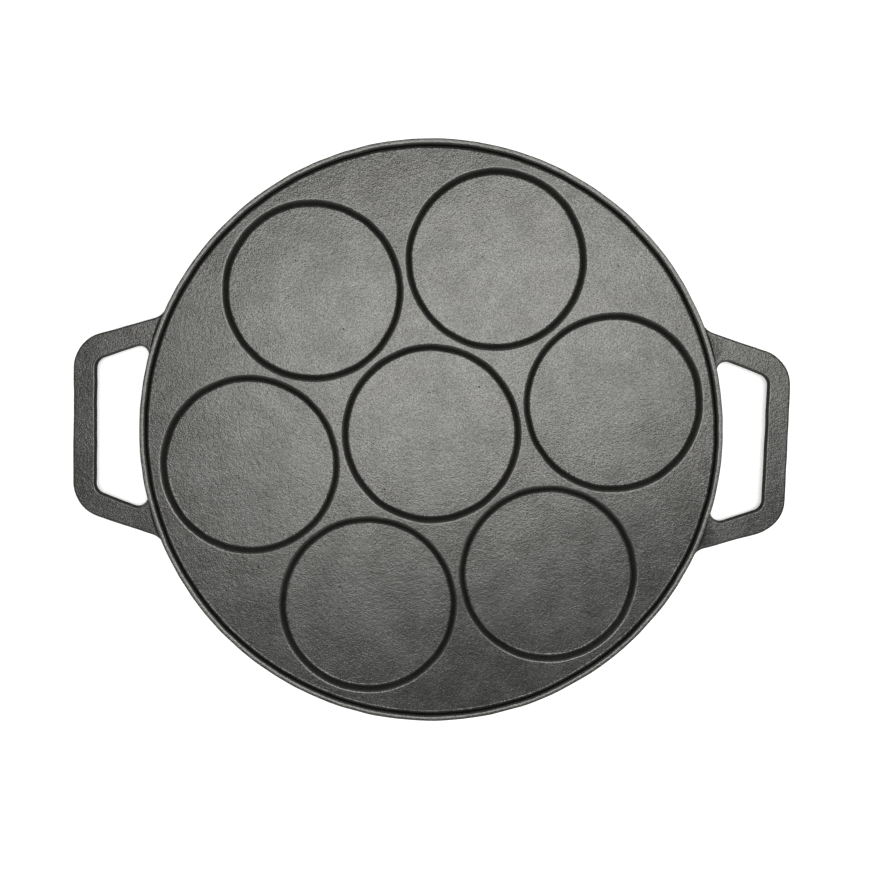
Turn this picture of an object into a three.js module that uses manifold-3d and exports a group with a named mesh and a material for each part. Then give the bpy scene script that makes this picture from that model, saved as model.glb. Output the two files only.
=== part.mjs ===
// Round cast iron griddle pan: seven shallow wells inside a raised rim, and a loop handle cast on each side.
// Millimetres, Z up, X along the handles. The pan stands on Z = 0, on the pads under its wells.

import * as THREE from 'three';
import { mergeVertices } from 'three/addons/utils/BufferGeometryUtils.js';
import Module from 'manifold-3d';

const wasm = await Module();
wasm.setup();

// Plate and rim
const PAN_DIAMETER = 380; // across the widest line of the outer wall
const PLATE_THICKNESS = 6; // iron between the wells, and in the well floors
const PLATE_EDGE_ROUND = 2.5; // lower edge of the outer wall
const LOWER_WALL_DRAFT = 12; // degrees off vertical, below the widest line
const UPPER_WALL_DRAFT = 9; // degrees off vertical, above the widest line
const RIM_HEIGHT = 4.5; // crest above the land between the wells
const RIM_WIDTH = 5.4; // outer wall to the foot of the inner wall
const RIM_INNER_DRAFT = 13; // degrees off vertical
const RIM_FOOT_ROUND = 2;
const RIM_INNER_ROUND = 0.8;
const RIM_OUTER_ROUND = 0.6;
const CREST_FLAT = 1.7; // level part of the crest, beside the outer wall
const CREST_LEAN = 14; // degrees by which the rest of the crest slopes to the inside

// Wells: one in the middle and a ring around it, three of them across the floor
const WELLS_ACROSS = 3;
const OUTER_WELLS = 6;
const WELL_TURN = 11.2; // degrees from the handle line to the first outer well
const WELL_DEPTH = 5;
const WELL_DRAFT = 30; // degrees off vertical
const WELL_LIP_ROUND = 1;
const WELL_FOOT_ROUND = 2.5;
const WEB_WIDTH = 3.4; // land between neighbouring mouths
const FLOOR_MARGIN = 6; // land between the outer mouths and the rim

// Pads under the wells
const PAD_WALL = 3.7; // iron beside the foot of a well
const PAD_DRAFT = 15; // degrees off vertical
const PAD_EDGE_ROUND = 1.5;
const PAD_ROOT_ROUND = 1;

// Handles
const HANDLE_REACH = 42.4; // outer wall to the outer side of the grip
const HANDLE_SPAN = 109; // between the two outer corners where grip and arms would meet sharp
const HANDLE_THICKNESS = 7;
const HANDLE_DROP = 3.3; // top of the handle below the rim crest
const HANDLE_EDGE_ROUND = 1.2;
const GRIP_WIDTH = 14.7;
const ARM_WIDTH = 15.8; // beside the grip
const ARM_ANGLE = 17.1; // degrees that the outer side of an arm leans off the handle line
const ARM_TAPER = 2.9; // degrees by which the gap side leans more
const OUTER_CORNER_ROUND = 23.4;
const OUTER_ROOT_ROUND = 12; // arm into pan, outside
const GAP_CORNER_ROUND = 7;
const GAP_ROOT_ROUND = 6; // arm into pan, inside the gap
const GAP_DRAFT_RUN = 0.9; // how far the gap opens from the middle of the handle to its faces
const WALL_FOOT_ROUND = 1.4; // outer wall of the pan into the top of a handle

// How the casting is divided
const STUB_LENGTH = 1; // straight arm left on the plate beyond the root rounds
const CUT_STEP = 0.5; // the dividing planes lie on whole steps

// Allowances for cutting and joining
const CUT_CLEARANCE = 2; // a cutter runs past the face that it opens
const ROOT_SINK = 0.4; // root rounds start this far inside the outer wall
const ROOT_DEPTH = 8; // handle blank runs this far into the plate
const PAD_SINK = 2; // pad runs this far into the plate
const GAP_SINK = 3; // gap cutter runs this far into the outer wall
const PARTING_LAP = 0.25; // each half of the gap cutter passes the parting plane by this much
const FOOT_SINK = 0.1; // the round above a handle starts this far inside wall and handle

// Facets
const PAN_SEGMENTS = 96;
const WELL_SEGMENTS = 48;
const PAD_SEGMENTS = 36;
const PROFILE_STEP = 40; // degrees of a round for each facet in a section
const OUTLINE_STEP = 12; // the same in a plan outline
const EDGE_FACETS = 2; // facets of a handle's rounded edge

// Heights
const UNDERSIDE = WELL_DEPTH; // pads drop as far as the wells, so the iron stays even
const LAND_TOP = UNDERSIDE + PLATE_THICKNESS;
const WELL_FLOOR = LAND_TOP - WELL_DEPTH;
const CREST = LAND_TOP + RIM_HEIGHT;
const HANDLE_TOP = CREST - HANDLE_DROP;
const PARTING = HANDLE_TOP - HANDLE_THICKNESS / 2; // widest line of the pan, middle of the handles

// Radii
const OUTER_RADIUS = PAN_DIAMETER / 2;
const RIM_FOOT_RADIUS = OUTER_RADIUS - RIM_WIDTH;
const CREST_RADIUS = OUTER_RADIUS - slopeRun(CREST - PARTING, UPPER_WALL_DRAFT);
const CLEAR_WIDTH = 2 * (RIM_FOOT_RADIUS - FLOOR_MARGIN);
const WELL_DIAMETER = (CLEAR_WIDTH - (WELLS_ACROSS - 1) * WEB_WIDTH) / WELLS_ACROSS;
const WELL_PITCH = WELL_DIAMETER + WEB_WIDTH;
const WELL_LIP_RADIUS = WELL_DIAMETER / 2 - roundReach(WELL_LIP_ROUND, 90 - WELL_DRAFT);
const WELL_FOOT_RADIUS = WELL_LIP_RADIUS - slopeRun(WELL_DEPTH, WELL_DRAFT);

// Handle lines
const GRIP_OUTSIDE = OUTER_RADIUS + HANDLE_REACH;
const GRIP_INSIDE = GRIP_OUTSIDE - GRIP_WIDTH;
const GAP_ANGLE = ARM_ANGLE + ARM_TAPER;
const ARM_SLANT = ARM_WIDTH / Math.cos(radians(ARM_ANGLE)); // arm width measured along the grip
const GAP_HALF_SPAN = HANDLE_SPAN / 2 + slopeRun(GRIP_WIDTH, ARM_ANGLE) - ARM_SLANT;

function radians(degrees) {
  return THREE.MathUtils.degToRad(degrees);
}

// Sideways run of a stretch of the given length that leans by so many degrees
function slopeRun(length, degrees) {
  return length * Math.tan(radians(degrees));
}

// Distance from a corner to the end of its round, where the outline turns by so many degrees
function roundReach(radius, turn) {
  return radius * Math.tan(radians(turn) / 2);
}

// Points of the shorter arc about a centre, from start to end
function arcPoints(centre, start, end, step) {
  const first = start.clone().sub(centre);
  const from = first.angle();
  const to = end.clone().sub(centre).angle();
  const sweep = THREE.MathUtils.euclideanModulo(to - from + Math.PI, 2 * Math.PI) - Math.PI;
  const facets = Math.max(2, Math.ceil(Math.abs(sweep) / radians(step)));
  const points = [start.clone()];
  for (let i = 1; i < facets; i += 1) {
    const angle = from + (sweep * i) / facets;
    const spoke = new THREE.Vector2(Math.cos(angle), Math.sin(angle)).multiplyScalar(first.length());
    points.push(spoke.add(centre));
  }
  points.push(end.clone());
  return points;
}

// Outline through corners given as [x, y, radius of the round], a missing radius leaving the corner sharp
function outlinePoints(corners, step) {
  return corners.flatMap(([x, y, radius], i) => {
    const corner = new THREE.Vector2(x, y);
    if (!radius) {
      return [corner];
    }
    const towards = ([nextX, nextY]) => new THREE.Vector2(nextX, nextY).sub(corner).normalize();
    const back = towards(corners[(i + corners.length - 1) % corners.length]);
    const onward = towards(corners[(i + 1) % corners.length]);
    const half = Math.acos(back.dot(onward)) / 2;
    const reach = radius / Math.tan(half);
    const centre = back.clone().add(onward).setLength(radius / Math.sin(half)).add(corner);
    const start = corner.clone().addScaledVector(back, reach);
    const end = corner.clone().addScaledVector(onward, reach);
    return arcPoints(centre, start, end, step);
  });
}

// Closed solid from a geometry whose triangles share corners by position
function solidFrom(geometry) {
  geometry.deleteAttribute('normal');
  geometry.deleteAttribute('uv');
  const merged = mergeVertices(geometry);
  const index = Array.from(merged.index.array);
  const triangles = [];
  for (let i = 0; i < index.length; i += 3) {
    const [a, b, c] = index.slice(i, i + 3);
    if (a !== b && b !== c && c !== a) {
      triangles.push(a, b, c);
    }
  }
  return new wasm.Manifold(new wasm.Mesh({
    numProp: 3,
    vertProperties: new Float32Array(merged.attributes.position.array),
    triVerts: new Uint32Array(triangles),
  }));
}

function geometryFrom(solid) {
  const mesh = solid.getMesh();
  const geometry = new THREE.BufferGeometry();
  geometry.setAttribute('position', new THREE.BufferAttribute(mesh.vertProperties, 3));
  geometry.setIndex(new THREE.BufferAttribute(mesh.triVerts, 1));
  geometry.computeVertexNormals();
  return geometry;
}

// Solid of revolution about Z, from a section given as corners [radius, height, round]
function revolved(corners, segments) {
  const section = outlinePoints(corners, PROFILE_STEP);
  return solidFrom(new THREE.LatheGeometry(section, segments).rotateX(Math.PI / 2));
}

// The plate and rim as a solid disc, before it is hollowed
function panDisc() {
  const lowerRadius = OUTER_RADIUS - slopeRun(PARTING - UNDERSIDE, LOWER_WALL_DRAFT);
  return revolved([
    [0, UNDERSIDE],
    [lowerRadius, UNDERSIDE, PLATE_EDGE_ROUND],
    [OUTER_RADIUS, PARTING],
    [CREST_RADIUS, CREST, RIM_OUTER_ROUND],
    [0, CREST],
  ], PAN_SEGMENTS);
}

// The space inside the rim, above the land: the inner wall rises to a shoulder, from which the crest slopes up
function rimHollow() {
  const mouthRadius = CREST_RADIUS - CREST_FLAT;
  const wallAtCrest = RIM_FOOT_RADIUS + slopeRun(RIM_HEIGHT, RIM_INNER_DRAFT);
  const runPerDrop = slopeRun(1, 90 - CREST_LEAN) - slopeRun(1, RIM_INNER_DRAFT);
  const shoulderDrop = (mouthRadius - wallAtCrest) / runPerDrop;
  const shoulderRadius = wallAtCrest - slopeRun(shoulderDrop, RIM_INNER_DRAFT);
  return revolved([
    [0, LAND_TOP],
    [RIM_FOOT_RADIUS, LAND_TOP, RIM_FOOT_ROUND],
    [shoulderRadius, CREST - shoulderDrop, RIM_INNER_ROUND],
    [mouthRadius, CREST],
    [mouthRadius, CREST + CUT_CLEARANCE],
    [0, CREST + CUT_CLEARANCE],
  ], PAN_SEGMENTS);
}

// The space of one well, with a filleted foot and a softened lip
function wellHollow() {
  return revolved([
    [0, WELL_FLOOR],
    [WELL_FOOT_RADIUS, WELL_FLOOR, WELL_FOOT_ROUND],
    [WELL_LIP_RADIUS, LAND_TOP, WELL_LIP_ROUND],
    [WELL_DIAMETER / 2, LAND_TOP],
    [WELL_DIAMETER / 2, LAND_TOP + CUT_CLEARANCE],
    [0, LAND_TOP + CUT_CLEARANCE],
  ], WELL_SEGMENTS);
}

// The round pad under one well, which keeps the iron even
function wellPad() {
  const rootRadius = WELL_FOOT_RADIUS + PAD_WALL;
  const footRadius = rootRadius - slopeRun(UNDERSIDE, PAD_DRAFT);
  const skirtRadius = rootRadius + roundReach(PAD_ROOT_ROUND, 90 - PAD_DRAFT);
  return revolved([
    [0, 0],
    [footRadius, 0, PAD_EDGE_ROUND],
    [rootRadius, UNDERSIDE, PAD_ROOT_ROUND],
    [skirtRadius, UNDERSIDE],
    [skirtRadius, UNDERSIDE + PAD_SINK],
    [0, UNDERSIDE + PAD_SINK],
  ], PAD_SEGMENTS);
}

// Centres of the wells, the middle one first
function wellCentres() {
  const centres = [new THREE.Vector2(0, 0)];
  for (let i = 0; i < OUTER_WELLS; i += 1) {
    const angle = radians(WELL_TURN) + (2 * Math.PI * i) / OUTER_WELLS;
    centres.push(new THREE.Vector2(Math.cos(angle), Math.sin(angle)).multiplyScalar(WELL_PITCH));
  }
  return centres;
}

// Round that runs from a straight arm side into the pan's outer wall.
// The side leaves the given corner and leans by the angle.
// The round lies on the outer side of the arm for side +1, on its gap side for -1.
function rootRound(corner, angle, radius, side) {
  const along = new THREE.Vector2(Math.cos(radians(angle)), -Math.sin(radians(angle)));
  const across = new THREE.Vector2(Math.sin(radians(angle)), Math.cos(radians(angle)));
  const wall = OUTER_RADIUS - ROOT_SINK;
  const offset = across.dot(corner) + side * radius;
  const reach = Math.sqrt((wall + radius) ** 2 - offset ** 2);
  const centre = across.clone().multiplyScalar(offset).addScaledVector(along, reach);
  return {
    centre,
    onArm: centre.clone().addScaledVector(across, -side * radius),
    onWall: centre.clone().setLength(wall),
  };
}

// Half of an outline that is the same on both sides of the handle line: rounded corner, root round, inner end
function halfOutline(corner, cornerRound, root, sink) {
  const cornerPoints = outlinePoints([
    [corner.x, 0],
    [corner.x, corner.y, cornerRound],
    [root.onArm.x, root.onArm.y],
  ], OUTLINE_STEP);
  const rootPoints = arcPoints(root.centre, root.onArm, root.onWall, OUTLINE_STEP);
  const innerEnd = root.onWall.clone().setLength(root.onWall.length() - sink);
  return [...cornerPoints.slice(1, -1), ...rootPoints, innerEnd];
}

function mirroredShape(upperHalf) {
  const lowerHalf = upperHalf.map((point) => new THREE.Vector2(point.x, -point.y)).reverse();
  return new THREE.Shape([...upperHalf, ...lowerHalf]);
}

const outerCorner = new THREE.Vector2(GRIP_OUTSIDE, HANDLE_SPAN / 2);
const gapCorner = new THREE.Vector2(GRIP_INSIDE, GAP_HALF_SPAN);
const outerRoot = rootRound(outerCorner, ARM_ANGLE, OUTER_ROOT_ROUND, 1);
const gapRoot = rootRound(gapCorner, GAP_ANGLE, GAP_ROOT_ROUND, -1);

// One half of the finger gap: its mouth lies on the handle's face, its narrow end on the parting plane
function gapHollow() {
  const half = HANDLE_THICKNESS / 2;
  const shape = mirroredShape(halfOutline(gapCorner, GAP_CORNER_ROUND, gapRoot, GAP_SINK));
  const geometry = new THREE.ExtrudeGeometry(shape, {
    depth: CUT_CLEARANCE,
    bevelThickness: half,
    bevelSize: GAP_DRAFT_RUN,
    bevelSegments: 1,
  });
  return solidFrom(geometry.translate(0, 0, half));
}

// The round where the pan's outer wall stands on the flat top of a handle.
// It is the brim of a hat whose crown fills the pan, kept only above that flat top.
function wallFoot(outline) {
  const wallRadius = OUTER_RADIUS - slopeRun(HANDLE_TOP - PARTING, UPPER_WALL_DRAFT) - FOOT_SINK;
  const brimTop = HANDLE_TOP - FOOT_SINK;
  const reach = roundReach(WALL_FOOT_ROUND, 90 - UPPER_WALL_DRAFT);
  const crownHeight = reach * Math.cos(radians(UPPER_WALL_DRAFT));
  const hat = revolved([
    [0, PARTING],
    [wallRadius + reach, PARTING],
    [wallRadius + reach, brimTop],
    [wallRadius, brimTop, WALL_FOOT_ROUND],
    [wallRadius - slopeRun(crownHeight, UPPER_WALL_DRAFT), brimTop + crownHeight],
    [0, brimTop + crownHeight],
  ], PAN_SEGMENTS);
  const column = new THREE.ExtrudeGeometry(outline, {
    depth: HANDLE_THICKNESS,
    bevelThickness: HANDLE_EDGE_ROUND,
    bevelSize: 0,
    bevelOffset: -HANDLE_EDGE_ROUND,
    bevelSegments: 1,
  });
  return hat.intersect(solidFrom(column.translate(0, 0, HANDLE_TOP - HANDLE_THICKNESS / 2)));
}

// The right-hand loop, from inside the plate to the grip
function handleLoop() {
  const shape = mirroredShape(halfOutline(outerCorner, OUTER_CORNER_ROUND, outerRoot, ROOT_DEPTH));
  const blank = new THREE.ExtrudeGeometry(shape, {
    depth: HANDLE_THICKNESS - 2 * HANDLE_EDGE_ROUND,
    bevelThickness: HANDLE_EDGE_ROUND,
    bevelSize: HANDLE_EDGE_ROUND,
    bevelOffset: -HANDLE_EDGE_ROUND,
    bevelSegments: EDGE_FACETS,
  });
  blank.translate(0, 0, HANDLE_TOP - HANDLE_THICKNESS + HANDLE_EDGE_ROUND);
  const upperGap = gapHollow().translate([0, 0, PARTING - PARTING_LAP]);
  const lowerGap = gapHollow().rotate([180, 0, 0]).translate([0, 0, PARTING + PARTING_LAP]);
  return solidFrom(blank).add(wallFoot(shape)).subtract(upperGap).subtract(lowerGap);
}

// The whole casting: disc, pads and loops joined, then hollowed
function wholeCasting() {
  const rightLoop = handleLoop();
  const leftLoop = rightLoop.rotate([0, 0, 180]);
  let casting = panDisc().add(rightLoop).add(leftLoop);
  const pad = wellPad();
  const well = wellHollow();
  for (const centre of wellCentres()) {
    casting = casting.add(pad.translate([centre.x, centre.y, 0]));
  }
  casting = casting.subtract(rimHollow());
  for (const centre of wellCentres()) {
    casting = casting.subtract(well.translate([centre.x, centre.y, 0]));
  }
  return casting;
}

// Block that holds everything between two X planes
function slab(fromX, toX) {
  const side = 2 * (GRIP_OUTSIDE + CUT_CLEARANCE);
  const block = new THREE.BoxGeometry(toX - fromX, side, side);
  return solidFrom(block.translate((fromX + toX) / 2, 0, 0));
}

// The casting is divided across the straight arms, where plate and handle meet on flat faces
const straightFrom = Math.max(outerRoot.onArm.x, gapRoot.onArm.x + slopeRun(GAP_DRAFT_RUN, GAP_ANGLE));
const divide = Math.ceil((straightFrom + STUB_LENGTH) / CUT_STEP) * CUT_STEP;
const beyond = GRIP_OUTSIDE + CUT_CLEARANCE;

const castIron = new THREE.MeshStandardMaterial({ color: '#55554f', roughness: 0.62, metalness: 0.55 });

function region(name, casting, fromX, toX) {
  const mesh = new THREE.Mesh(geometryFrom(casting.intersect(slab(fromX, toX))), castIron);
  mesh.name = name;
  return mesh;
}

const casting = wholeCasting();
const griddlePan = new THREE.Group();
griddlePan.add(region('griddle_plate', casting, -divide, divide));
griddlePan.add(region('left_handle', casting, -beyond, -divide));
griddlePan.add(region('right_handle', casting, divide, beyond));

export default griddlePan;
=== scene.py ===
"""Cast iron griddle pan with seven wells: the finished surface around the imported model.

Meshes are modelled in millimetres and brought to metres as they become objects.
"""

import math

import bmesh
import bpy
from mathutils import Matrix, Vector, noise


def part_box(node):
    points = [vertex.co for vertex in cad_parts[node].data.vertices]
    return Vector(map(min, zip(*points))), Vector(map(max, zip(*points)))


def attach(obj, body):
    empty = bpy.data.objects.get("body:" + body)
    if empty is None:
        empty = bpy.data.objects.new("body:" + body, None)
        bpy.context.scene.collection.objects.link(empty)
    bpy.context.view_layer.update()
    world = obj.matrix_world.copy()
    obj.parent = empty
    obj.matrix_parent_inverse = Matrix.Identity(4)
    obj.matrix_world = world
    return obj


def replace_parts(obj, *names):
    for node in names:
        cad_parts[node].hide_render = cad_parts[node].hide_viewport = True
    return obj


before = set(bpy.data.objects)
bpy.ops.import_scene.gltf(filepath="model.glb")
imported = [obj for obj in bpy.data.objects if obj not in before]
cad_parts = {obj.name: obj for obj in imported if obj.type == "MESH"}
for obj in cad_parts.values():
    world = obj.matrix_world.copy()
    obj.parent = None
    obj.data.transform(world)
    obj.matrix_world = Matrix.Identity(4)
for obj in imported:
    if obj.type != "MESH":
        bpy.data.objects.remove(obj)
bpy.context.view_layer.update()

MM = 0.001  # metres in a millimetre

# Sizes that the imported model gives, in millimetres
plate_low, plate_high = (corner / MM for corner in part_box("griddle_plate"))
loop_low, loop_high = (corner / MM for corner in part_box("right_handle"))
OUTER_RADIUS = plate_high.y
CREST = plate_high.z
DIVIDE = plate_high.x  # flat faces across the arms, where plate and handles meet
GRIP_OUTSIDE = loop_high.x
HANDLE_TOP = loop_high.z
HANDLE_THICKNESS = loop_high.z - loop_low.z
PARTING = HANDLE_TOP - HANDLE_THICKNESS / 2  # widest line of the pan, middle of the handles

# Plate and rim, in millimetres and degrees
PLATE_THICKNESS = 6
PLATE_EDGE_ROUND = 2.5
LOWER_WALL_DRAFT = 12
UPPER_WALL_DRAFT = 9
PARTING_ROUND = 0.8
RIM_HEIGHT = 4.5
RIM_WIDTH = 5.4
RIM_INNER_DRAFT = 13
RIM_FOOT_ROUND = 2
RIM_INNER_ROUND = 1.8
RIM_OUTER_ROUND = 0.6
CREST_FLAT = 1.7  # level part of the crest, beside the outer wall
CREST_LEAN = 14  # slope of the rest, down to the inside
CREST_DOME = 4.5  # round between the two

# Wells and the pads under them, in millimetres and degrees
WELL_DEPTH = 5
WELL_DIAMETER = 118.2  # where the round of a lip ends on the land
WELL_PITCH = 120.2  # from the middle of the pan to the middle of an outer well
WELL_TURN = 11.2  # from +X to the first outer well
OUTER_WELLS = 6
WELL_DRAFT = 30
WELL_LIP_ROUND = 2.2
WELL_FOOT_ROUND = 2.1
PAD_WALL = 3.7  # from the foot of a well out to the root of its pad
PAD_DRAFT = 15
PAD_EDGE_ROUND = 1.5
PAD_ROOT_ROUND = 1

# Handles, in millimetres and degrees
HANDLE_SPAN = 109
HANDLE_EDGE_ROUND = 1.2
GRIP_WIDTH = 14.7
ARM_WIDTH = 15.8
ARM_ANGLE = 17.1
ARM_TAPER = 2.9
OUTER_CORNER_ROUND = 23.4
OUTER_ROOT_ROUND = 12
GAP_CORNER_ROUND = 7
GAP_ROOT_ROUND = 6
GAP_DRAFT_RUN = 0.9  # how far a gap wall leans back from the parting line to the top
GAP_EDGE_ROUND = 0.6
ROOT_SINK = 0.08  # root rounds end this far inside the outer wall
ROOT_END = 187  # trimmed ends of the arms, inside the rim
ROOT_BEARING = 18.8  # round the pan to the middle of a root
ROOT_LEAN_REACH = 5  # the roots lean with the wall this far out from it
ROOT_LEAN_ABOVE = 0.55  # how far the wall has drawn in at the top of a handle
ROOT_LEAN_BELOW = 1.7  # and at its underside, where the plate's edge is rounded
LOOP_SINK = 14  # the arms run this much further into the plate
WALL_FOOT_ROUND = 1.4  # outer wall into the top of a handle
WALL_FOOT_BEARINGS = (15.6, 22.8)  # round the pan, between which that round shows
WALL_FOOT_SINK = 0.4  # its solid goes this far into the wall and into the arm

# Outlines that a sand mould leaves uneven, in millimetres
MOULD_WANDER = 0.3
WANDER_SPACING = 11
WANDER_FADE = 6  # it fades to nothing towards the divide
WANDER_LAYERS = (0.5, 7.5)  # heights in the noise that move outlines along X and along Y

# Surface of the iron, in millimetres
SAND_GRAIN = 0.82  # mould sand is about 0.3, which is too fine to show
GRAIN_HEIGHT = 0.12
SAND_LUMP = 2.6
LUMP_HEIGHT = 0.12
PIT_SPACING = 4
PIT_SHARE = 0.12  # of the places where a pit may be
PIT_DEPTH = 0.1
PIT_FLOOR_RADIUS = 0.2
PIT_RADIUS = 0.8
OIL_CLOUD = 20
WORN_ROUND = 1.5  # edges as tight as this round or tighter are rubbed most
NOISE_TURN = (35, 25, 10)  # degrees

# Share of black, from oil and from painted shade
GRAIN_OIL = 0.6  # in the dips between the grains
# painted shade in hollows
HOLLOW_PAINTED_SHADE = 0.35
WALL_PAINTED_SHADE = 0.45  # painted shade on steep walls
LAND_DARKENING = 0.05  # the land is darkened a little more than the well floors

# Where the oil and the painted shade lie
STEEP = 0.2  # upright part of the normal, up or down, on a steep wall
GENTLE = 0.6  # and on a slope that gets no painted shade, like the flats
GRAIN_DIP = 0.32  # levels of the noise between which nearly all of it lies
GRAIN_TOP = 0.68
CLOUD_THIN = 0.3  # levels of the noise where the coat is thinnest and thickest
CLOUD_THICK = 0.7

# How the iron and its oil look
THIN_OIL = "#51514f"
THICK_OIL = "#454543"
# also the black of the painted shade and of the darker land
BLACK_OIL_AND_SHADE = "#1c1c1b"
RUBBED_IRON = "#4a4a48"
FLAT_ANGLE_GLOSS = "#c4c4c4"
METAL_SHARE = 0.75
THIN_ROUGHNESS = 0.26
THICK_ROUGHNESS = 0.22

# Sockets of a Mix node that is set to colours
MIX_A = 6
MIX_B = 7
MIX_RESULT = 2

# Fineness of the meshes, in steps and millimetres
PAN_STEPS = 288
WELL_STEPS = 144
ROUND_STEP = 9  # degrees of a round for each facet
FLAT_MARGIN = 0.4  # ring of flat around a round, which keeps the wide flats evenly lit
EDGE_FACETS = 5
LOOP_STEP = 4  # straight stretches of a loop are divided about as finely as this
WALL_FOOT_STEPS = 24
SHARP_ANGLE = 32  # degrees between faces from which their edge is shaded sharp
SAME_PLACE = 0.001  # points as close as this are one
SLIVER = 0.004  # the joins leave points as close as this, which are merged

# Studio, in metres and degrees
BOX_PLACE = (0.105, 0.113, 1.5)
BOX_SIZE = (1.13, 0.67)
BOX_TURN = 19
BOX_POWER = 19.3  # watts
CEILING_PLACE = (0, 0, 2.4)
CEILING_SIZE = (3.2, 3.2)
CEILING_POWER = 8
ROOM_GREY = 0.5
FLOOR_HALF = 4
FLOOR_GLOW = 0.25
FLOOR_WHITE = "#fafaf8"
CAMERA_PLACE = (-0.00515, 0.05545, 0.79)
CAMERA_TURN = (-4.119, -0.433, 1.55)
CAMERA_SENSOR = 36  # millimetres, and so is the lens
CAMERA_LENS = 49.655

# Heights that follow
LAND_TOP = CREST - RIM_HEIGHT
UNDERSIDE = LAND_TOP - PLATE_THICKNESS
WELL_FLOOR = LAND_TOP - WELL_DEPTH


def slope_run(length, degrees):
    """Sideways run of a stretch that leans by so many degrees."""
    return length * math.tan(math.radians(degrees))


def round_reach(radius, turn):
    """Distance from a corner to the end of its round, where the outline turns by so many degrees."""
    return radius * math.tan(math.radians(turn) / 2)


def round_corners(bm, verts, radii):
    """Rounds the corners of an outline, each to its own radius; a radius of 0 leaves a corner sharp."""
    for vert, radius in zip(verts, radii):
        if not radius:
            continue
        back, onward = (edge.other_vert(vert).co - vert.co for edge in vert.link_edges)
        turn = 180 - math.degrees(back.angle(onward))
        inward = (back.normalized() + onward.normalized()).normalized()
        centre = vert.co + inward * radius / math.cos(math.radians(turn) / 2)
        made = bmesh.ops.bevel(
            bm,
            geom=[vert],
            offset=round_reach(radius, turn),
            offset_type="OFFSET",
            segments=max(2, math.ceil(turn / ROUND_STEP)),
            profile=0.5,
            affect="VERTICES",
            material=-1,
        )
        for point in made["verts"]:
            point.co = centre + (point.co - centre).normalized() * radius


def turned(corners, steps):
    """Turns a section, given as corners (radius, height, round), about the upright axis."""
    bm = bmesh.new()
    verts = [bm.verts.new((radius, 0, height)) for radius, height, _ in corners]
    for pair in zip(verts, verts[1:]):
        bm.edges.new(pair)
    round_corners(bm, verts, [corner[2] for corner in corners])
    bmesh.ops.spin(
        bm,
        geom=[*bm.verts, *bm.edges],
        axis=(0, 0, 1),
        angle=math.tau,
        steps=steps,
        use_merge=True,
    )
    mesh = bpy.data.meshes.new("turned")
    bm.to_mesh(mesh)
    bm.free()
    return mesh


def add_copies(bm, mesh, centres):
    """Adds a turned mesh at each centre."""
    for centre in centres:
        before = len(bm.verts)
        bm.from_mesh(mesh)
        bmesh.ops.translate(bm, verts=bm.verts[before:], vec=(*centre, 0))
    bpy.data.meshes.remove(mesh)


def fill_flats(bm, height):
    """Fills the flat areas between the open rings that lie at one height."""
    rings = [
        edge
        for edge in bm.edges
        if edge.is_boundary and all(abs(vert.co.z - height) < SAME_PLACE for vert in edge.verts)
    ]
    bmesh.ops.triangle_fill(bm, edges=rings, use_beauty=True, normal=(0, 0, 1))


def rim_section():
    """From the land, over the rim and down the outer wall to the underside."""
    foot = OUTER_RADIUS - RIM_WIDTH
    land_end = foot - round_reach(RIM_FOOT_ROUND, 90 - RIM_INNER_DRAFT) - FLAT_MARGIN
    crest_outside = OUTER_RADIUS - slope_run(CREST - PARTING, UPPER_WALL_DRAFT)
    level_from = crest_outside - CREST_FLAT
    wall_at_crest = foot + slope_run(RIM_HEIGHT, RIM_INNER_DRAFT)
    run_per_drop = slope_run(1, 90 - CREST_LEAN) - slope_run(1, RIM_INNER_DRAFT)
    shoulder_drop = (level_from - wall_at_crest) / run_per_drop
    shoulder = wall_at_crest - slope_run(shoulder_drop, RIM_INNER_DRAFT)
    lower = OUTER_RADIUS - slope_run(PARTING - UNDERSIDE, LOWER_WALL_DRAFT)
    under_end = lower - round_reach(PLATE_EDGE_ROUND, 90 - LOWER_WALL_DRAFT) - FLAT_MARGIN
    return [
        (land_end, LAND_TOP, 0),
        (foot, LAND_TOP, RIM_FOOT_ROUND),
        (shoulder, CREST - shoulder_drop, RIM_INNER_ROUND),
        (level_from, CREST, CREST_DOME),
        (crest_outside, CREST, RIM_OUTER_ROUND),
        (OUTER_RADIUS, PARTING, PARTING_ROUND),
        (lower, UNDERSIDE, PLATE_EDGE_ROUND),
        (under_end, UNDERSIDE, 0),
    ]


def well_section():
    """From the land, over the lip and down the drafted wall to the floor of a well."""
    lip = WELL_DIAMETER / 2 - round_reach(WELL_LIP_ROUND, 90 - WELL_DRAFT)
    foot = lip - slope_run(WELL_DEPTH, WELL_DRAFT)
    floor_end = foot - round_reach(WELL_FOOT_ROUND, 90 - WELL_DRAFT) - FLAT_MARGIN
    return [
        (WELL_DIAMETER / 2 + FLAT_MARGIN, LAND_TOP, 0),
        (lip, LAND_TOP, WELL_LIP_ROUND),
        (foot, WELL_FLOOR, WELL_FOOT_ROUND),
        (floor_end, WELL_FLOOR, 0),
    ]


def pad_section():
    """From the underside of the plate down to the face that a pad stands on."""
    lip = WELL_DIAMETER / 2 - round_reach(WELL_LIP_ROUND, 90 - WELL_DRAFT)
    root = lip - slope_run(WELL_DEPTH, WELL_DRAFT) + PAD_WALL
    foot = root - slope_run(UNDERSIDE, PAD_DRAFT)
    return [
        (root + round_reach(PAD_ROOT_ROUND, 90 - PAD_DRAFT) + FLAT_MARGIN / 2, UNDERSIDE, 0),
        (root, UNDERSIDE, PAD_ROOT_ROUND),
        (foot, 0, PAD_EDGE_ROUND),
        (foot - round_reach(PAD_EDGE_ROUND, 90 - PAD_DRAFT) - FLAT_MARGIN, 0, 0),
    ]


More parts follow.
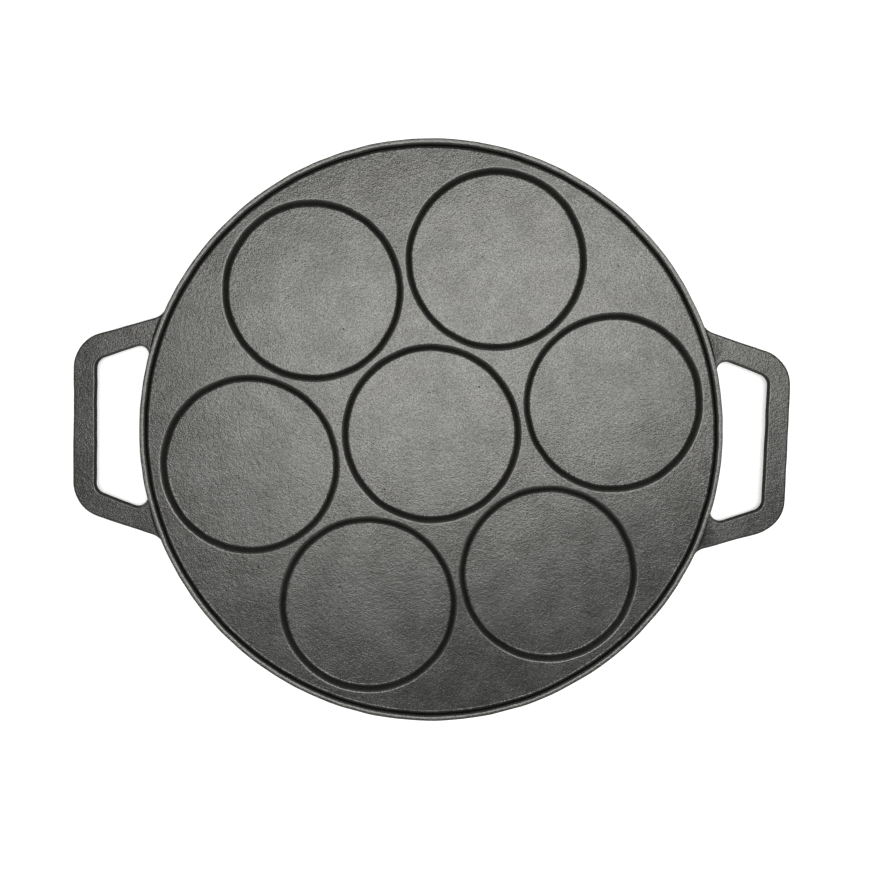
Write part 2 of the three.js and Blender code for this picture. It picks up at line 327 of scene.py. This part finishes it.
def well_centres():
    """The middle well, then the ring around it."""
    ring = [math.radians(WELL_TURN) + math.tau * i / OUTER_WELLS for i in range(OUTER_WELLS)]
    return [Vector((0, 0)), *(Vector((math.cos(a), math.sin(a))) * WELL_PITCH for a in ring)]


def round_plate():
    """Plate, rim, wells and pads as one closed mesh, without the handles."""
    bm = bmesh.new()
    add_copies(bm, turned(rim_section(), PAN_STEPS), [(0, 0)])
    add_copies(bm, turned(well_section(), WELL_STEPS), well_centres())
    add_copies(bm, turned(pad_section(), WELL_STEPS), well_centres())
    for height in (LAND_TOP, WELL_FLOOR, UNDERSIDE, 0):
        fill_flats(bm, height)
    bmesh.ops.recalc_face_normals(bm, faces=bm.faces)
    return bm


def root_corner(corner, angle, radius, side):
    """Where the side of an arm runs into the outer wall on a round.

    Gives the inner end, the end on the wall and the corner of the round. The round lies on the outer
    side of the arm for side +1, on its gap side for -1.
    """
    along = Vector((math.cos(math.radians(angle)), -math.sin(math.radians(angle))))
    across = Vector((-along.y, along.x))
    wall = OUTER_RADIUS - ROOT_SINK
    offset = across.dot(corner) + side * radius
    centre = across * offset + along * math.sqrt((wall + radius) ** 2 - offset**2)
    to_arm = across * -side
    to_wall = -centre.normalized()
    meeting = centre + (to_arm + to_wall) * radius / (1 + to_arm.dot(to_wall))
    on_wall = centre.normalized() * wall
    return on_wall.normalized() * (wall - LOOP_SINK), on_wall, meeting


def loop_outline():
    """Corners (x, y, round) of the right-hand loop in plan: a U whose ends lie inside the outer wall."""
    arm_slant = ARM_WIDTH / math.cos(math.radians(ARM_ANGLE))
    gap_span = HANDLE_SPAN / 2 + slope_run(GRIP_WIDTH, ARM_ANGLE) - arm_slant
    outer = Vector((GRIP_OUTSIDE, HANDLE_SPAN / 2))
    gap = Vector((GRIP_OUTSIDE - GRIP_WIDTH, gap_span))
    sides = []
    for corner, angle, corner_round, root_round, side in (
        (outer, ARM_ANGLE, OUTER_CORNER_ROUND, OUTER_ROOT_ROUND, 1),
        (gap, ARM_ANGLE + ARM_TAPER, GAP_CORNER_ROUND, GAP_ROOT_ROUND, -1),
    ):
        inner_end, on_wall, meeting = root_corner(corner, angle, root_round, side)
        half = [(*inner_end, 0), (*on_wall, 0), (*meeting, root_round), (*corner, corner_round)]
        sides.append(half + [(x, -y, radius) for x, y, radius in reversed(half)])
    outer_side, gap_side = sides
    return outer_side + gap_side[::-1]


def faces_gap(face):
    """Whether a wall of the right-hand loop looks into the finger gap."""
    gap_middle = Vector((GRIP_OUTSIDE - GRIP_WIDTH, 0))
    return face.normal.xy.dot(gap_middle - face.calc_center_median().xy) > SAME_PLACE


def handle_loop():
    """The right-hand loop, with drafted gap walls and rounded edges, alike above and below its middle."""
    bm = bmesh.new()
    corners = loop_outline()
    verts = [bm.verts.new((x, y, 0)) for x, y, _ in corners]
    bm.faces.new(verts)
    round_corners(bm, verts, [corner[2] for corner in corners])
    bmesh.ops.remove_doubles(bm, verts=bm.verts, dist=SAME_PLACE)
    for edge in bm.edges[:]:
        bmesh.ops.subdivide_edges(bm, edges=[edge], cuts=int(edge.calc_length() / LOOP_STEP))
    raised = bmesh.ops.extrude_face_region(bm, geom=bm.faces[:])["geom"]
    top_verts = [item for item in raised if isinstance(item, bmesh.types.BMVert)]
    bmesh.ops.translate(bm, verts=top_verts, vec=(0, 0, HANDLE_THICKNESS / 2))
    bmesh.ops.recalc_face_normals(bm, faces=bm.faces)
    middle, top = sorted(bm.faces, key=lambda face: face.calc_center_median().z)[:: len(bm.faces) - 1]
    bmesh.ops.delete(bm, geom=[middle], context="FACES_ONLY")

    for vert in top_verts:
        facing = [face.normal for face in vert.link_faces if faces_gap(face)]
        if facing:
            vert.co -= sum(facing, Vector()).normalized() * GAP_DRAFT_RUN

    for radius, on_gap in ((GAP_EDGE_ROUND, True), (HANDLE_EDGE_ROUND, False)):
        top = max(bm.faces, key=lambda face: face.calc_area())
        edges = [edge for edge in top.edges if any(map(faces_gap, edge.link_faces)) == on_gap]
        bmesh.ops.bevel(
            bm,
            geom=edges,
            offset=radius,
            offset_type="OFFSET",
            segments=EDGE_FACETS,
            profile=0.5,
            affect="EDGES",
            material=-1,
        )
    top = max(bm.faces, key=lambda face: face.calc_area())
    bmesh.ops.inset_region(bm, faces=[top], thickness=FLAT_MARGIN, use_even_offset=True)
    bmesh.ops.mirror(bm, geom=[*bm.verts, *bm.edges, *bm.faces], axis="Z", merge_dist=SAME_PLACE)
    bmesh.ops.recalc_face_normals(bm, faces=bm.faces)
    bmesh.ops.translate(bm, verts=bm.verts, vec=(0, 0, PARTING))
    lean_roots(bm)
    return bm


def lean_roots(bm):
    """Lets the roots of the right-hand loop follow the outer wall.

    The wall draws in above and below the parting line.
    """
    for vert in bm.verts:
        height = (vert.co.z - PARTING) / (HANDLE_THICKNESS / 2)
        run = height * ROOT_LEAN_ABOVE if height > 0 else height**2 * ROOT_LEAN_BELOW
        nearness = 1 - min(1, max(0, vert.co.xy.length - OUTER_RADIUS) / ROOT_LEAN_REACH)
        vert.co.xy -= vert.co.xy.normalized() * run * nearness


def keep_behind(bm, place, outward, side=0):
    """Cuts off what lies beyond a plane and closes the cut.

    Side +1 or -1 takes in only what lies on that side of the middle plane.
    """
    cut = [*bm.verts, *bm.edges, *bm.faces]
    if side:
        verts = {vert for vert in bm.verts if vert.co.y * side > 0}
        cut = [item for item in cut if verts.issuperset(getattr(item, "verts", [item]))]
    bmesh.ops.bisect_plane(bm, geom=cut, plane_co=place, plane_no=outward, clear_outer=True)
    bmesh.ops.holes_fill(bm, edges=[edge for edge in bm.edges if edge.is_boundary])


def cut_across_arms(bm, kept):
    """Cuts the right-hand loop at the divide and keeps the handle (+1) or the arm roots (-1)."""
    bmesh.ops.bisect_plane(
        bm, geom=[*bm.verts, *bm.edges, *bm.faces], plane_co=(0, 0, 0), plane_no=(0, 1, 0)
    )
    keep_behind(bm, (DIVIDE, 0, 0), (-kept, 0, 0))
    if kept < 0:
        bearing = math.radians(ROOT_BEARING)
        for side in (1, -1):
            inward = Vector((-math.cos(bearing), -side * math.sin(bearing), 0))
            keep_behind(bm, -inward * ROOT_END, inward, side)
    bmesh.ops.recalc_face_normals(bm, faces=bm.faces)
    return bm


def half_turn(bm, verts):
    """Turns points from the right-hand side of the pan to the left-hand side."""
    bmesh.ops.rotate(bm, verts=verts, cent=(0, 0, 0), matrix=Matrix.Rotation(math.pi, 3, "Z"))


def both_sides(bm):
    """Adds a copy for the left-hand side of the pan."""
    copied = bmesh.ops.duplicate(bm, geom=[*bm.verts, *bm.edges, *bm.faces])["geom"]
    half_turn(bm, [item for item in copied if isinstance(item, bmesh.types.BMVert)])
    return bm


def arm_roots():
    """The four roots that stay with the plate."""
    return both_sides(cut_across_arms(handle_loop(), -1))


def scratch_object(name, bm):
    """Puts a mesh into the scene for as long as a modifier needs it."""
    mesh = bpy.data.meshes.new(name)
    bm.to_mesh(mesh)
    bm.free()
    made = bpy.data.objects.new(name, mesh)
    bpy.context.scene.collection.objects.link(made)
    return made


def wall_feet():
    """Rounds between the outer wall and the flat top of each arm, which fade out at both ends."""
    wall = OUTER_RADIUS - slope_run(HANDLE_TOP - PARTING, UPPER_WALL_DRAFT)
    reach = round_reach(WALL_FOOT_ROUND, 90 - UPPER_WALL_DRAFT)
    height = reach * math.cos(math.radians(UPPER_WALL_DRAFT))
    lean = reach * math.sin(math.radians(UPPER_WALL_DRAFT))
    start, end = (math.radians(angle) for angle in WALL_FOOT_BEARINGS)
    section = [
        (-lean - WALL_FOOT_SINK, height, 0),
        (-lean, height, 0),
        (0, 0, WALL_FOOT_ROUND),
        (reach, 0, 0),
        (reach, -WALL_FOOT_SINK, 0),
        (-lean - WALL_FOOT_SINK, -WALL_FOOT_SINK, 0),
    ]
    bm = bmesh.new()
    verts = [bm.verts.new((wall + along, 0, HANDLE_TOP + up)) for along, up, _ in section]
    bm.faces.new(verts)
    round_corners(bm, verts, [corner[2] for corner in section])
    crease = Vector((wall, 0, HANDLE_TOP))
    bmesh.ops.spin(
        bm, geom=bm.faces[:], axis=(0, 0, 1), cent=(0, 0, 0), angle=end - start, steps=WALL_FOOT_STEPS
    )
    for vert in bm.verts:
        turn = math.atan2(vert.co.y, vert.co.x)
        fullness = math.sqrt(max(0, math.sin(math.pi * turn / (end - start))))
        on_crease = Matrix.Rotation(turn, 3, "Z") @ crease
        vert.co = on_crease + (vert.co - on_crease) * fullness
    bmesh.ops.remove_doubles(bm, verts=bm.verts, dist=SAME_PLACE)
    bmesh.ops.rotate(bm, verts=bm.verts, cent=(0, 0, 0), matrix=Matrix.Rotation(start, 3, "Z"))
    bmesh.ops.mirror(bm, geom=[*bm.verts, *bm.edges, *bm.faces], axis="Y", merge_dist=0)
    bmesh.ops.recalc_face_normals(bm, faces=bm.faces)
    return both_sides(bm)


def plate_with_roots():
    """Plate, arm roots and wall feet joined into one closed mesh."""
    plate = scratch_object("plate_blank", round_plate())
    added = [scratch_object("root_blank", arm_roots()), scratch_object("foot_blank", wall_feet())]
    for blank in added:
        join = plate.modifiers.new("join", "BOOLEAN")
        join.operation = "UNION"
        join.solver = "MANIFOLD"
        join.object = blank
    depsgraph = bpy.context.evaluated_depsgraph_get()
    joined = plate.evaluated_get(depsgraph).to_mesh()
    bm = bmesh.new()
    bm.from_mesh(joined)
    for blank in (plate, *added):
        mesh = blank.data
        bpy.data.objects.remove(blank)
        bpy.data.meshes.remove(mesh)
    bmesh.ops.remove_doubles(bm, verts=bm.verts, dist=SLIVER)
    return bm


def handle(side):
    """The loop beyond the divide, on the right (+1) or the left (-1)."""
    bm = cut_across_arms(handle_loop(), 1)
    if side < 0:
        half_turn(bm, bm.verts)
    return bm


def let_wander(bm):
    """Moves outlines a little to the side, the same at every height, so that flats stay level."""
    for vert in bm.verts:
        fade = min(1, abs(abs(vert.co.x) - DIVIDE) / WANDER_FADE)
        place = vert.co.xy / WANDER_SPACING
        aside = Vector([noise.noise((*place, layer)) for layer in WANDER_LAYERS])
        vert.co.xy += aside * MOULD_WANDER * fade


def mark_bends(bm):
    """Notes how the surface bends at each point: 1 on a tight edge, 0 on a flat, below 0 in a hollow.

    The faces on the divide are left out, because the iron runs on there.
    """
    bend = bm.verts.layers.float.new("bend")
    for vert in bm.verts:
        faces = [face for face in vert.link_faces if abs(face.calc_center_median().x) != DIVIDE]
        normal = sum((face.normal * face.calc_area() for face in faces), Vector()).normalized()
        curves = [
            2 * normal.dot(vert.co - edge.other_vert(vert).co) / edge.calc_length() ** 2
            for edge in vert.link_edges
        ]
        vert[bend] = max(-1, min(1, max(curves, key=abs) * WORN_ROUND))


def finished_piece(name, bm, material):
    """Makes a mesh in millimetres a piece of the pan."""
    let_wander(bm)
    mark_bends(bm)
    bmesh.ops.scale(bm, vec=(MM, MM, MM), verts=bm.verts)
    mesh = bpy.data.meshes.new(name)
    bm.to_mesh(mesh)
    bm.free()
    mesh.shade_smooth()
    mesh.set_sharp_from_angle(angle=math.radians(SHARP_ANGLE))
    mesh.materials.append(material)
    piece = bpy.data.objects.new(name, mesh)
    bpy.context.scene.collection.objects.link(piece)
    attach(piece, "root")
    return piece


def linear(hex_colour):
    """An sRGB hex colour as linear RGBA."""
    channels = [int(hex_colour[i : i + 2], 16) / 255 for i in (1, 3, 5)]
    return (*(c / 12.92 if c <= 0.04045 else ((c + 0.055) / 1.055) ** 2.4 for c in channels), 1)


def add_node(tree, kind, inputs=None, **settings):
    """Adds a node with its settings, and links or sets its inputs."""
    made = tree.nodes.new(kind)
    for key, value in settings.items():
        setattr(made, key, value)
    for key, value in (inputs or {}).items():
        if isinstance(value, bpy.types.NodeSocket):
            tree.links.new(value, made.inputs[key])
        else:
            made.inputs[key].default_value = value
    return made


def new_material(name):
    """An empty material and its node tree."""
    material = bpy.data.materials.new(name)
    material.use_nodes = True
    material.node_tree.nodes.clear()
    return material, material.node_tree


def seasoned_cast_iron():
    """Sand-cast grey iron under baked oil.

    It looks near black, with a satin gloss that breaks up on the grain that the sand left.
    """
    material, tree = new_material("seasoned_cast_iron")
    on_piece = add_node(tree, "ShaderNodeTexCoord")
    place = on_piece.outputs["Object"]
    # A noise is faint on the planes of its own grid, so it is turned away from the level flats
    turned_place = add_node(
        tree,
        "ShaderNodeMapping",
        {"Vector": place, "Rotation": [math.radians(angle) for angle in NOISE_TURN]},
    ).outputs["Vector"]

    # The mould's sand leaves a pebbly grain, wider lumps and a few pits. The grain is drawn coarser
    # than it is, so that it shows
    grain = add_node(
        tree,
        "ShaderNodeTexNoise",
        {"Vector": turned_place, "Scale": 1 / (SAND_GRAIN * MM), "Detail": 1, "Roughness": 0.5},
    ).outputs["Fac"]
    lumps = add_node(
        tree,
        "ShaderNodeTexNoise",
        {"Vector": turned_place, "Scale": 1 / (SAND_LUMP * MM), "Detail": 2, "Roughness": 0.5},
    ).outputs["Fac"]
    pit_cells = add_node(
        tree, "ShaderNodeTexVoronoi", {"Vector": turned_place, "Scale": 1 / (PIT_SPACING * MM)}
    )
    pit_hollow = add_node(
        tree,
        "ShaderNodeMapRange",
        {
            "Value": pit_cells.outputs["Distance"],
            "From Min": PIT_FLOOR_RADIUS / PIT_SPACING,
            "From Max": PIT_RADIUS / PIT_SPACING,
            "To Min": 1,
            "To Max": 0,
        },
        interpolation_type="SMOOTHSTEP",
    ).outputs["Result"]
    pit_chosen = add_node(
        tree, "ShaderNodeMath", {0: pit_cells.outputs["Color"], 1: PIT_SHARE}, operation="LESS_THAN"
    ).outputs["Value"]
    pits = add_node(
        tree, "ShaderNodeMath", {0: pit_hollow, 1: pit_chosen}, operation="MULTIPLY"
    ).outputs["Value"]

    # Oil bakes on in clouds, darker and glossier where it ran thick
    clouds = add_node(
        tree,
        "ShaderNodeTexNoise",
        {
            "Vector": turned_place,
            "Scale": 1 / (OIL_CLOUD * MM),
            "Detail": 4,
            "Roughness": 0.6,
            "Distortion": 0.4,
        },
    ).outputs["Fac"]
    oil = add_node(
        tree,
        "ShaderNodeMapRange",
        {"Value": clouds, "From Min": CLOUD_THIN, "From Max": CLOUD_THICK},
        interpolation_type="SMOOTHSTEP",
    ).outputs["Result"]

    # It gathers between the grains and blackens them. The land is a little darker too, and hollows and
    # steep walls are darkened as painted shade
    between_grains = add_node(
        tree,
        "ShaderNodeMapRange",
        {"Value": grain, "From Min": GRAIN_DIP, "From Max": GRAIN_TOP, "To Min": GRAIN_OIL, "To Max": 0},
    ).outputs["Result"]
    # The land is made a little darker than the well floors
    height = add_node(tree, "ShaderNodeSeparateXYZ", {"Vector": place}).outputs["Z"]
    above_wells = add_node(
        tree,
        "ShaderNodeMapRange",
        {"Value": height, "From Min": WELL_FLOOR * MM, "From Max": LAND_TOP * MM, "To Max": LAND_DARKENING},
    ).outputs["Result"]
    bend = add_node(tree, "ShaderNodeAttribute", attribute_name="bend").outputs["Fac"]
    # Painted shade: hollows are darkened towards black
    painted_shade_in_hollows = add_node(
        tree,
        "ShaderNodeMapRange",
        {"Value": bend, "From Min": -1, "From Max": 0, "To Min": HOLLOW_PAINTED_SHADE, "To Max": 0},
    ).outputs["Result"]
    # Painted shade: steep walls, facing up or down, are darkened towards black
    normal_parts = add_node(tree, "ShaderNodeSeparateXYZ", {"Vector": on_piece.outputs["Normal"]})
    levelness = add_node(
        tree, "ShaderNodeMath", {0: normal_parts.outputs["Z"]}, operation="ABSOLUTE"
    ).outputs["Value"]
    painted_shade_on_walls = add_node(
        tree,
        "ShaderNodeMapRange",
        {"Value": levelness, "From Min": STEEP, "From Max": GENTLE, "To Min": WALL_PAINTED_SHADE, "To Max": 0},
    ).outputs["Result"]
    # Oil between the grains, the darker land and the painted shade add up to one share of black
    black_oil_and_shade = between_grains
    for more_darkening in (above_wells, painted_shade_in_hollows, painted_shade_on_walls):
        black_oil_and_shade = add_node(
            tree, "ShaderNodeMath", {0: black_oil_and_shade, 1: more_darkening}, operation="ADD"
        ).outputs["Value"]
    dark_spots_and_shade = add_node(
        tree, "ShaderNodeMath", {0: black_oil_and_shade, 1: pits}, operation="MAXIMUM"
    ).outputs["Value"]

    # Turners and cloths rub the edges thin
    rubbed = add_node(
        tree, "ShaderNodeMath", {0: bend, 1: grain}, operation="MULTIPLY", use_clamp=True
    ).outputs["Value"]

    seasoning = add_node(
        tree,
        "ShaderNodeMix",
        {"Factor": oil, MIX_A: linear(THIN_OIL), MIX_B: linear(THICK_OIL)},
        data_type="RGBA",
    ).outputs[MIX_RESULT]
    grainy_and_shaded = add_node(
        tree,
        "ShaderNodeMix",
        {"Factor": dark_spots_and_shade, MIX_A: seasoning, MIX_B: linear(BLACK_OIL_AND_SHADE)},
        data_type="RGBA",
    ).outputs[MIX_RESULT]
    colour = add_node(
        tree,
        "ShaderNodeMix",
        {"Factor": rubbed, MIX_A: grainy_and_shaded, MIX_B: linear(RUBBED_IRON)},
        data_type="RGBA",
    ).outputs[MIX_RESULT]
    roughness = add_node(
        tree, "ShaderNodeMapRange", {"Value": oil, "To Min": THIN_ROUGHNESS, "To Max": THICK_ROUGHNESS}
    ).outputs["Result"]

    normal = add_node(
        tree, "ShaderNodeBump", {"Height": lumps, "Strength": 1, "Distance": LUMP_HEIGHT * MM}
    ).outputs["Normal"]
    normal = add_node(
        tree,
        "ShaderNodeBump",
        {"Height": grain, "Strength": 1, "Distance": GRAIN_HEIGHT * MM, "Normal": normal},
    ).outputs["Normal"]
    normal = add_node(
        tree,
        "ShaderNodeBump",
        {"Height": pits, "Strength": 1, "Distance": PIT_DEPTH * MM, "Normal": normal},
        invert=True,
    ).outputs["Normal"]

    # Iron shows through the oil as a metal, and the oil's dull skin holds back the gloss at flat angles
    shader = add_node(
        tree,
        "ShaderNodeBsdfPrincipled",
        {
            "Base Color": colour,
            "Metallic": METAL_SHARE,
            "Roughness": roughness,
            "Specular IOR Level": 0,
            "Specular Tint": linear(FLAT_ANGLE_GLOSS),
            "Normal": normal,
        },
    )
    add_node(tree, "ShaderNodeOutputMaterial", {"Surface": shader.outputs["BSDF"]})
    return material


def opal_acrylic():
    """Sheet of a light table: white and matt, with a faint glow that lifts the shadows."""
    material, tree = new_material("opal_acrylic")
    white = linear(FLOOR_WHITE)
    shader = add_node(
        tree,
        "ShaderNodeBsdfPrincipled",
        {
            "Base Color": white,
            "Roughness": 0.9,
            "Emission Color": white,
            "Emission Strength": FLOOR_GLOW,
        },
    )
    add_node(tree, "ShaderNodeOutputMaterial", {"Surface": shader.outputs["BSDF"]})
    return material


def studio_floor():
    """A wide white floor that the pads stand on."""
    bm = bmesh.new()
    bmesh.ops.create_grid(bm, x_segments=1, y_segments=1, size=FLOOR_HALF)
    mesh = bpy.data.meshes.new("floor")
    bm.to_mesh(mesh)
    bm.free()
    mesh.materials.append(opal_acrylic())
    floor = bpy.data.objects.new("floor", mesh)
    bpy.context.scene.collection.objects.link(floor)


def soft_light(name, place, size, turn, power):
    """A rectangular soft box that faces straight down, turned by so many degrees about its axis."""
    light = bpy.data.lights.new(name, "AREA")
    light.shape = "RECTANGLE"
    light.size, light.size_y = size
    light.energy = power
    lamp = bpy.data.objects.new(name, light)
    lamp.location = place
    lamp.rotation_euler.z = math.radians(turn)
    bpy.context.scene.collection.objects.link(lamp)


def camera_above():
    """The photograph's view: almost straight down, from a little behind the middle of the pan."""
    data = bpy.data.cameras.new("camera")
    data.sensor_width = CAMERA_SENSOR
    data.lens = CAMERA_LENS
    camera = bpy.data.objects.new("camera", data)
    camera.location = CAMERA_PLACE
    camera.rotation_euler = [math.radians(angle) for angle in CAMERA_TURN]
    bpy.context.scene.collection.objects.link(camera)
    bpy.context.scene.camera = camera


def grey_room():
    """What the iron mirrors where it doesn't face the soft boxes."""
    world = bpy.data.worlds.new("room")
    world.use_nodes = True
    background = world.node_tree.nodes["Background"]
    background.inputs["Color"].default_value = (ROOM_GREY, ROOM_GREY, ROOM_GREY, 1)
    bpy.context.scene.world = world


iron = seasoned_cast_iron()
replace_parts(finished_piece("griddle_plate_finish", plate_with_roots(), iron), "griddle_plate")
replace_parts(finished_piece("right_handle_finish", handle(1), iron), "right_handle")
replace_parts(finished_piece("left_handle_finish", handle(-1), iron), "left_handle")

studio_floor()
soft_light("overhead_box", BOX_PLACE, BOX_SIZE, BOX_TURN, BOX_POWER)
soft_light("ceiling_bounce", CEILING_PLACE, CEILING_SIZE, 0, CEILING_POWER)
grey_room()
camera_above()
bpy.context.scene.view_settings.view_transform = "Standard"
